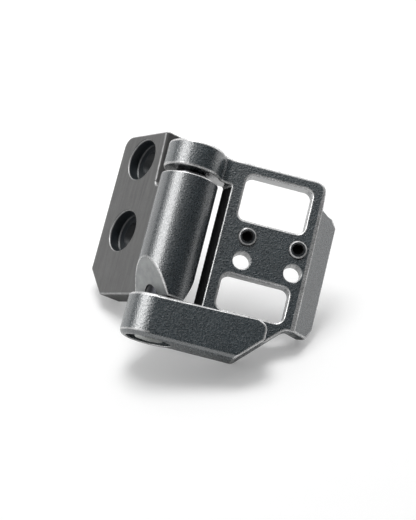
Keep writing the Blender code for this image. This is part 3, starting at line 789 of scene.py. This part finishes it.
def new_group(name, inputs, outputs):
    """An empty node group with named float or colour sockets."""
    group = bpy.data.node_groups.new(name, "ShaderNodeTree")
    for label, kind, value in inputs:
        socket = group.interface.new_socket(name=label, in_out="INPUT", socket_type=kind)
        socket.default_value = value
    for label, kind in outputs:
        group.interface.new_socket(name=label, in_out="OUTPUT", socket_type=kind)
    return group, group.nodes.new("NodeGroupInput"), group.nodes.new("NodeGroupOutput")


def feed(tree, value, socket):
    """Link a socket to this one, or set it to a number or a colour."""
    if isinstance(value, bpy.types.NodeSocket):
        tree.links.new(value, socket)
    else:
        socket.default_value = value


def math_node(tree, operation, first, second=None):
    """A Math node. Its inputs are numbers or sockets."""
    node = tree.nodes.new("ShaderNodeMath")
    node.operation = operation
    for socket, value in zip(node.inputs, (first, second)):
        if value is not None:
            feed(tree, value, socket)
    return node.outputs[0]


def noise(tree, vector, scale, detail=4.0, roughness=0.55):
    """A noise texture on this vector. The scale is in cells per metre."""
    node = tree.nodes.new("ShaderNodeTexNoise")
    tree.links.new(vector, node.inputs["Vector"])
    feed(tree, scale, node.inputs["Scale"])
    node.inputs["Detail"].default_value = detail
    node.inputs["Roughness"].default_value = roughness
    return node.outputs["Fac"]


def ramp(tree, value, low, high, low_value=0.0, high_value=1.0):
    """Map a value from one range to another, smoothly and clamped."""
    node = tree.nodes.new("ShaderNodeMapRange")
    node.interpolation_type = "SMOOTHSTEP"
    tree.links.new(value, node.inputs["Value"])
    for label, number in zip(("From Min", "From Max", "To Min", "To Max"),
                             (low, high, low_value, high_value)):
        node.inputs[label].default_value = number
    return node.outputs["Result"]


def mix_color(tree, factor, first, second):
    """Mix two colours, given as sockets or (r, g, b, 1)."""
    node = tree.nodes.new("ShaderNodeMix")
    node.data_type = "RGBA"
    tree.links.new(factor, node.inputs["Factor"])
    feed(tree, first, node.inputs[6])
    feed(tree, second, node.inputs[7])
    return node.outputs[2]


def add_bump(tree, shader, height, depth):
    """Tilt the shader's normal by a height, which is times this depth in metres."""
    bump = tree.nodes.new("ShaderNodeBump")
    bump.inputs["Strength"].default_value = 1.0
    bump.inputs["Distance"].default_value = depth
    tree.links.new(height, bump.inputs["Height"])
    tree.links.new(bump.outputs["Normal"], shader.inputs["Normal"])


print("node helpers ready")

# %% Grain group
grain_group, inside, outside = new_group(
    "Cast grain",
    [("Grain Scale", "NodeSocketFloat", 2300.0), ("Pebble", "NodeSocketFloat", 0.6)],
    [("Height", "NodeSocketFloat"), ("Mottle", "NodeSocketFloat")])
coords = grain_group.nodes.new("ShaderNodeTexCoord").outputs["Object"]
cells = grain_group.nodes.new("ShaderNodeTexVoronoi")
cells.feature = "SMOOTH_F1"
cells.inputs["Smoothness"].default_value = 0.8
grain_group.links.new(coords, cells.inputs["Vector"])
grain_group.links.new(inside.outputs["Grain Scale"], cells.inputs["Scale"])
fine = noise(grain_group, coords, math_node(grain_group, "MULTIPLY", inside.outputs["Grain Scale"], 1.3))
pebbles = math_node(grain_group, "MULTIPLY", cells.outputs["Distance"], inside.outputs["Pebble"])
height = math_node(grain_group, "SUBTRACT", fine, pebbles)
grain_group.links.new(height, outside.inputs["Height"])
mottle = noise(grain_group, coords, 210.0, 6.0, 0.7)
grain_group.links.new(mottle, outside.inputs["Mottle"])
print("group:", grain_group.name)

# %% Wear group
# The light colour this group puts on the radii is partly wear and partly painted highlight along the edges.
wear_and_highlight_group, inside, outside = new_group(
    "Edge wear and painted highlight",
    [("Coating", "NodeSocketColor", (0.04, 0.045, 0.05, 1.0)),
     ("Worn", "NodeSocketColor", (0.16, 0.165, 0.17, 1.0)),
     ("Amount", "NodeSocketFloat", 0.5), ("Specks", "NodeSocketFloat", 0.5)],
    [("Color", "NodeSocketColor"), ("Mask", "NodeSocketFloat")])
coords = wear_and_highlight_group.nodes.new("ShaderNodeTexCoord").outputs["Object"]
edge = wear_and_highlight_group.nodes.new("ShaderNodeAttribute")
edge.attribute_name = "edge"
patchy = ramp(wear_and_highlight_group, noise(wear_and_highlight_group, coords, 420.0, 5.0, 0.65), 0.3, 0.6, 0.7, 1.0)
worn_and_lit_edge = math_node(wear_and_highlight_group, "MULTIPLY", edge.outputs["Fac"], patchy)
worn_and_lit_edge = math_node(wear_and_highlight_group, "MULTIPLY", worn_and_lit_edge, inside.outputs["Amount"])
specks = ramp(wear_and_highlight_group, noise(wear_and_highlight_group, coords, 2600.0, 2.0), 0.74, 0.8)
specks = math_node(wear_and_highlight_group, "MULTIPLY", specks, inside.outputs["Specks"])
mask = math_node(wear_and_highlight_group, "MAXIMUM", worn_and_lit_edge, specks)
color = mix_color(wear_and_highlight_group, mask, inside.outputs["Coating"], inside.outputs["Worn"])
wear_and_highlight_group.links.new(color, outside.inputs["Color"])
wear_and_highlight_group.links.new(mask, outside.inputs["Mask"])
print("group:", wear_and_highlight_group.name)

# %% Coatings
def group_node(tree, group, **values):
    """Place a group in a material and set its named inputs."""
    node = tree.nodes.new("ShaderNodeGroup")
    node.node_tree = group
    for label, value in values.items():
        node.inputs[label.replace("_", " ")].default_value = value
    return node


def coating(name, color, worn_and_lit, wear_and_shine, grain, depth, rough, ior, coat=0.0, brushed=0.0):
    """A dark coating: grain as bump, uneven gloss, and half-bare radii, lighter as wear and as painted
    highlight.

    Grain is in cells per metre and depth in metres. With a brushed value, long faint streaks
    run along the pin.
    """
    material, tree, shader = new_material(name)
    skin = group_node(tree, grain_group, Grain_Scale=grain)
    wear_and_highlight = group_node(tree, wear_and_highlight_group, Coating=(*color, 1.0), Worn=(*worn_and_lit, 1.0), Amount=wear_and_shine)
    tone = ramp(tree, skin.outputs["Mottle"], 0.3, 0.7, 0.85, 1.15)
    if brushed:
        stretch = tree.nodes.new("ShaderNodeMapping")
        stretch.inputs["Scale"].default_value = (1.0, 1.0, 0.08)
        tree.links.new(tree.nodes.new("ShaderNodeTexCoord").outputs["Object"], stretch.inputs["Vector"])
        streaks = noise(tree, stretch.outputs["Vector"], 900.0, 5.0, 0.6)
        streaks = ramp(tree, streaks, 0.25, 0.75, 1.0 - brushed, 1.0 + brushed)
        tone = math_node(tree, "MULTIPLY", tone, streaks)
    tinted = tree.nodes.new("ShaderNodeVectorMath")
    tinted.operation = "SCALE"
    tree.links.new(wear_and_highlight.outputs["Color"], tinted.inputs["Vector"])
    tree.links.new(tone, tinted.inputs["Scale"])
    tree.links.new(tinted.outputs["Vector"], shader.inputs["Base Color"])
    tree.links.new(math_node(tree, "MULTIPLY", wear_and_highlight.outputs["Mask"], 0.5), shader.inputs["Metallic"])
    gloss = ramp(tree, skin.outputs["Height"], 0.0, 0.6, rough + 0.08, rough - 0.06)
    tree.links.new(gloss, shader.inputs["Roughness"])
    polished = ramp(tree, wear_and_highlight.outputs["Mask"], 0.0, 1.0, 1.0, 0.15)
    grain_height = math_node(tree, "SUBTRACT", skin.outputs["Height"], 0.25)
    add_bump(tree, shader, math_node(tree, "MULTIPLY", grain_height, polished), depth)
    shader.inputs["IOR"].default_value = ior
    shader.inputs["Coat Weight"].default_value = coat
    shader.inputs["Coat Roughness"].default_value = 0.15
    return material


# The light worn colours brighten the radii: partly wear, partly painted highlight.
frame_coating = coating("frame coating", (0.04, 0.053, 0.061), worn_and_lit=(0.7, 0.7, 0.7), wear_and_shine=0.95,
                        grain=2100.0, depth=0.00007, rough=0.24, ior=2.4, coat=0.5)
leaf_coating = coating("leaf coating", (0.055, 0.055, 0.054), worn_and_lit=(0.42, 0.42, 0.42), wear_and_shine=0.8,
                       grain=2600.0, depth=0.00001, rough=0.34, ior=1.8, brushed=0.35)
barrel_coating = coating("barrel coating", (0.025, 0.034, 0.04), worn_and_lit=(0.7, 0.7, 0.7), wear_and_shine=0.95,
                         grain=2600.0, depth=0.00005, rough=0.26, ior=2.4, coat=0.5)
screw_coating = coating("screw coating", (0.008, 0.008, 0.008), worn_and_lit=(0.5, 0.5, 0.5), wear_and_shine=0.95,
                        grain=2600.0, depth=0.00001, rough=0.25, ior=1.8)
# Near-black and dull: painted shade in the recess beside the barrel.
recess_shade_coating = coating("recess painted shade", (0.008, 0.009, 0.01), worn_and_lit=(0.2, 0.2, 0.2), wear_and_shine=0.0,
                         grain=2300.0, depth=0.00005, rough=0.8, ior=1.3)
# Darker than the leaf coating: in the counterbores it is painted shade.
hole_coating = coating("hole coating", (0.009, 0.013, 0.017), worn_and_lit=(0.4, 0.4, 0.4), wear_and_shine=0.5,
                       grain=2600.0, depth=0.00002, rough=0.38, ior=1.6)
# Lighter and glossier than the frame coating: the lighter colour is painted reflection on walls that face
# down.
lightened_wall_coating = coating("window wall coating lightened", (0.06, 0.07, 0.075), worn_and_lit=(0.7, 0.7, 0.7), wear_and_shine=0.6,
                       grain=2300.0, depth=0.000015, rough=0.18, ior=2.6, coat=1.0)
print("coatings ready")

# %% Steels
def steel(name, color, rough, metallic=1.0, depth=0.000004):
    """A machined steel: fine uneven marks in gloss and bump."""
    material, tree, shader = new_material(name)
    coords = tree.nodes.new("ShaderNodeTexCoord").outputs["Object"]
    marks = noise(tree, coords, 2200.0, 6.0, 0.7)
    tint = mix_color(tree, ramp(tree, noise(tree, coords, 420.0), 0.3, 0.7),
                     (*[value * 0.82 for value in color], 1.0), (*color, 1.0))
    tree.links.new(tint, shader.inputs["Base Color"])
    tree.links.new(ramp(tree, marks, 0.3, 0.7, rough - 0.08, rough + 0.1), shader.inputs["Roughness"])
    add_bump(tree, shader, marks, depth)
    shader.inputs["Metallic"].default_value = metallic
    return material


pin_steel = steel("pin steel", (0.55, 0.57, 0.55), 0.3)
black_steel = steel("black oxide steel", (0.09, 0.09, 0.09), 0.32)
# Nearly black: painted shade on the pin's shaft inside the bore.
shaded_pin_shaft = steel("pin shaft painted shade", (0.035, 0.036, 0.04), 0.34)
spring_steel = steel("spring steel", (0.38, 0.38, 0.39), 0.28)
bare_flat = steel("bare machined flat", (0.36, 0.37, 0.37), 0.42, 0.9)
print("steels ready")

# %% Dress the small pieces and the frame leaf
def dress(item, *materials):
    """Give an object these materials, in the order of its faces' slots."""
    item.data.materials.clear()
    for material in materials:
        item.data.materials.append(material)


dress(snap_ring, black_steel)
dress(spring, spring_steel)
dress(frame["nodes"]["spring_washer"], pin_steel)
for screw in (screw_inner, screw_outer):
    dress(screw, screw_coating, hole_coating)
    for face in screw.data.polygons:
        if abs(face.normal.y) > 0.99:
            face.material_index = 1
# the pin is nearly black between its groove and its head, as painted shade inside the bore
dress(pin, pin_steel, shaded_pin_shaft)
for face in pin.data.polygons:
    if -7.0 < (to_row.inverted() @ face.center).z / MM < 38.0:
        face.material_index = 1
# the recess beside the barrel is darker and duller, as painted shade, and what faces down over a gap is
# glossier and lighter, the lighter colour as painted reflection
dress(leaf, frame_coating, recess_shade_coating, lightened_wall_coating)
for face in leaf.data.polygons:
    middle = to_row.inverted() @ face.center / MM
    beside_barrel = 8.9 < middle.x < 10.8 and 0.6 < middle.y < 5.0 and 0.3 < middle.z < 31.0
    over_window = WINDOW_LEFT / MM - 0.1 < middle.x < WINDOW_RIGHT / MM + 0.1 and middle.z > 10.0
    if beside_barrel:
        face.material_index = 1
    elif face.normal.z < -0.95 and (middle.z > 33.0 or over_window):
        face.material_index = 2
print("frame leaf slots:", sorted({face.material_index for face in leaf.data.polygons}))

# %% Dress the plate leaf
dress(plate, leaf_coating, bare_flat, barrel_coating, hole_coating)
bare = 0
flat_normal = leaf_to_row.to_3x3() @ Vector((0.0, math.cos(FLAT_ANGLE), -math.sin(FLAT_ANGLE)))
rear_normal = leaf_to_row.to_3x3() @ Vector((0.0, -math.cos(FLAT_ANGLE), -math.sin(FLAT_ANGLE)))
for face in plate.data.polygons:
    if max(face.normal.dot(flat_normal), face.normal.dot(rear_normal)) > 0.9995:
        face.material_index = 1
        bare += 1
        continue
    middle = leaf_to_row.inverted() @ face.center
    if middle.xy.length < ROUND + 0.1 * MM:
        face.material_index = 2
    # the counterbores take the darker hole coating as painted shade
    elif (-ROUND + 0.05 * MM < middle.y < LEAF_FACE - 0.25 * MM
          and min(math.hypot(middle.x - HOLE_X, middle.z - z) for z in HOLE_ZS) < 5.9 * MM):
        face.material_index = 3
print("bare faces:", bare)

# %% [markdown]
# ## Floor, light and camera
#
# The hinge stands on three corners: the plate leaf's foot, the ledge's end and the wing's foot,
# so the floor is the plane through them. A white world shows behind it, and it is a little dimmer
# as light than as a reflection or a background. Soft lamps stand on the left, above, behind and
# on the right. The left and the rear one show only in reflections, so they leave no shadow. A
# dark curtain gives the round forms their dark side, and two narrow black cards draw the dark
# lines beside the bright ones. None of these is seen by the camera itself.

# %% Floor
LEDGE_FOOT = Vector((-2.54, -0.35, -28.6)) * MM
WING_FOOT = Vector((12.32, 4.59, -17.62)) * MM
LEAF_FOOT = Vector((-35.03, 22.51, -16.6)) * MM
FLOOR_UP = (WING_FOOT - LEDGE_FOOT).cross(LEAF_FOOT - LEDGE_FOOT).normalized()
bm = bmesh.new()
bmesh.ops.create_grid(bm, x_segments=1, y_segments=1, size=1.5)
turn = FLOOR_UP.to_track_quat("Z", "Y").to_matrix().to_4x4()
bmesh.ops.transform(bm, matrix=Matrix.Translation(LEDGE_FOOT) @ turn, verts=bm.verts[:])
floor = to_object(bm, "floor")
paper, paper_tree, paper_shader = new_material("white paper")
paper_shader.inputs["Base Color"].default_value = (0.8, 0.8, 0.8, 1.0)
paper_shader.inputs["Roughness"].default_value = 0.8
paper_shader.inputs["Specular IOR Level"].default_value = 0.1
paper_shader.inputs["Emission Color"].default_value = (1.0, 1.0, 1.0, 1.0)
paper_path = paper_tree.nodes.new("ShaderNodeLightPath")
paper_tree.links.new(math_node(paper_tree, "MULTIPLY", paper_path.outputs["Is Camera Ray"], 0.23),
                     paper_shader.inputs["Emission Strength"])
floor.data.materials.append(paper)
print("floor normal:", [round(value, 3) for value in FLOOR_UP])

# %% Camera
def turn_about(axis, degrees):
    """A turn by this many degrees about a named axis."""
    return Matrix.Rotation(math.radians(degrees), 3, axis)


PICTURE_HEIGHT = 520.0
FOCAL_PIXELS = 1311.3
SENSOR = 36.0
FIT_SCALE = 0.9677
level = Matrix(((1.0, 0.0, 0.0), (0.0, 0.0, 1.0), (0.0, -1.0, 0.0)))
look = turn_about("Z", -14.29) @ turn_about("X", -12.34) @ turn_about("Y", 1.15) @ level
camera_place = -(look.transposed() @ Vector((-12.8, -10.22, -339.81))) * FIT_SCALE * MM - ORIGIN
camera = bpy.data.objects.new("camera", bpy.data.cameras.new("camera"))
camera.data.sensor_width = SENSOR
camera.data.lens = FOCAL_PIXELS * SENSOR / PICTURE_HEIGHT
camera.data.clip_start = 0.01
camera.matrix_world = Matrix.Translation(camera_place) @ look.transposed().to_4x4()
bpy.context.scene.collection.objects.link(camera)
bpy.context.scene.camera = camera
right = look.transposed() @ Vector((1.0, 0.0, 0.0))
up = look.transposed() @ Vector((0.0, 1.0, 0.0))
back = look.transposed() @ Vector((0.0, 0.0, 1.0))
print("camera at, mm:", [round(value * 1000, 1) for value in camera_place])

# %% Dark curtain
CURTAIN_RADIUS = 0.45
CURTAIN_START = math.radians(-24.0)
bm = bmesh.new()
start = CURTAIN_RADIUS * (math.sin(CURTAIN_START) * right + math.cos(CURTAIN_START) * back)
ends = [bm.verts.new(start + height * up) for height in (-0.22, 0.34)]
spin(bm, ends + [bm.edges.new(ends)], math.radians(118.0), 24, axis=up)
curtain = to_object(bm, "dark_curtain")
dark, _, dark_shader = new_material("black cloth")
dark_shader.inputs["Base Color"].default_value = (0.01, 0.01, 0.01, 1.0)
dark_shader.inputs["Roughness"].default_value = 0.9
curtain.data.materials.append(dark)
curtain.visible_camera = False
print("curtain sides:", [round(value, 2) for value in curtain.dimensions])

# %% Dark cards
def aim(direction, distance):
    """A matrix that stands at this distance in a direction and looks back at the hinge."""
    direction = direction.normalized()
    return (Matrix.Translation(direction * distance)
            @ direction.to_track_quat("Z", "Y").to_matrix().to_4x4())


def dark_card(name, direction, distance, size):
    """A flat black card that only reflections see, to draw a dark line beside a bright one."""
    bm = bmesh.new()
    bmesh.ops.create_grid(bm, x_segments=1, y_segments=1, size=0.5)
    bmesh.ops.scale(bm, vec=(size[0], size[1], 1.0), verts=bm.verts)
    bmesh.ops.transform(bm, matrix=aim(direction, distance), verts=bm.verts)
    card = to_object(bm, name)
    card.data.materials.append(dark)
    card.visible_camera = False
    card.visible_diffuse = False
    card.visible_shadow = False
    print(name, "at", distance, "m")


dark_card("flank_card", -0.885 * right + 0.45 * up + 0.03 * back, 0.45, (0.12, 0.4))
dark_card("rear_card", 0.11 * right + 0.45 * up - 0.88 * back, 0.5, (0.6, 0.13))

# %% Lamps
LAMP_DISTANCE = 0.9


def softbox(name, direction, size, power, diffuse=True):
    """A soft lamp that looks at the hinge. Without diffuse it shows only in reflections."""
    lamp = bpy.data.lights.new(name, "AREA")
    lamp.shape = "RECTANGLE"
    lamp.size = size[0]
    lamp.size_y = size[1]
    lamp.energy = power
    item = bpy.data.objects.new(name, lamp)
    bpy.context.scene.collection.objects.link(item)
    item.matrix_world = aim(direction, LAMP_DISTANCE)
    item.visible_camera = False
    item.visible_diffuse = diffuse
    print(name, "with", power, "W")


softbox("key softbox", -0.62 * right + 0.51 * up + 0.6 * back, (0.52, 0.34), 2.6, diffuse=False)
softbox("top softbox", -0.1 * right + 0.95 * up + 0.3 * back, (0.4, 0.5), 4.9)
softbox("edge softbox", 0.24 * right + 0.88 * up - 0.4 * back, (0.9, 0.25), 2.8, diffuse=False)
softbox("right softbox", 0.95 * right - 0.3 * back + 0.32 * up, (0.4, 0.8), 1.05)
print("lamps:", len(bpy.data.lights))

# %% World
AMBIENT = 0.7
world = bpy.data.worlds.new("studio")
bpy.context.scene.world = world
world.use_nodes = True
background = world.node_tree.nodes["Background"]
light_path = world.node_tree.nodes.new("ShaderNodeLightPath")
seen = math_node(world.node_tree, "MAXIMUM", light_path.outputs["Is Camera Ray"],
                 math_node(world.node_tree, "MAXIMUM", light_path.outputs["Is Glossy Ray"],
                           light_path.outputs["Is Transmission Ray"]))
strength = math_node(world.node_tree, "MULTIPLY_ADD", seen, 1.0 - AMBIENT)
strength.node.inputs[2].default_value = AMBIENT
world.node_tree.links.new(strength, background.inputs["Strength"])
background.inputs["Color"].default_value = (1.0, 1.0, 1.0, 1.0)
bpy.context.scene.view_settings.view_transform = "Standard"
print("world:", world.name)
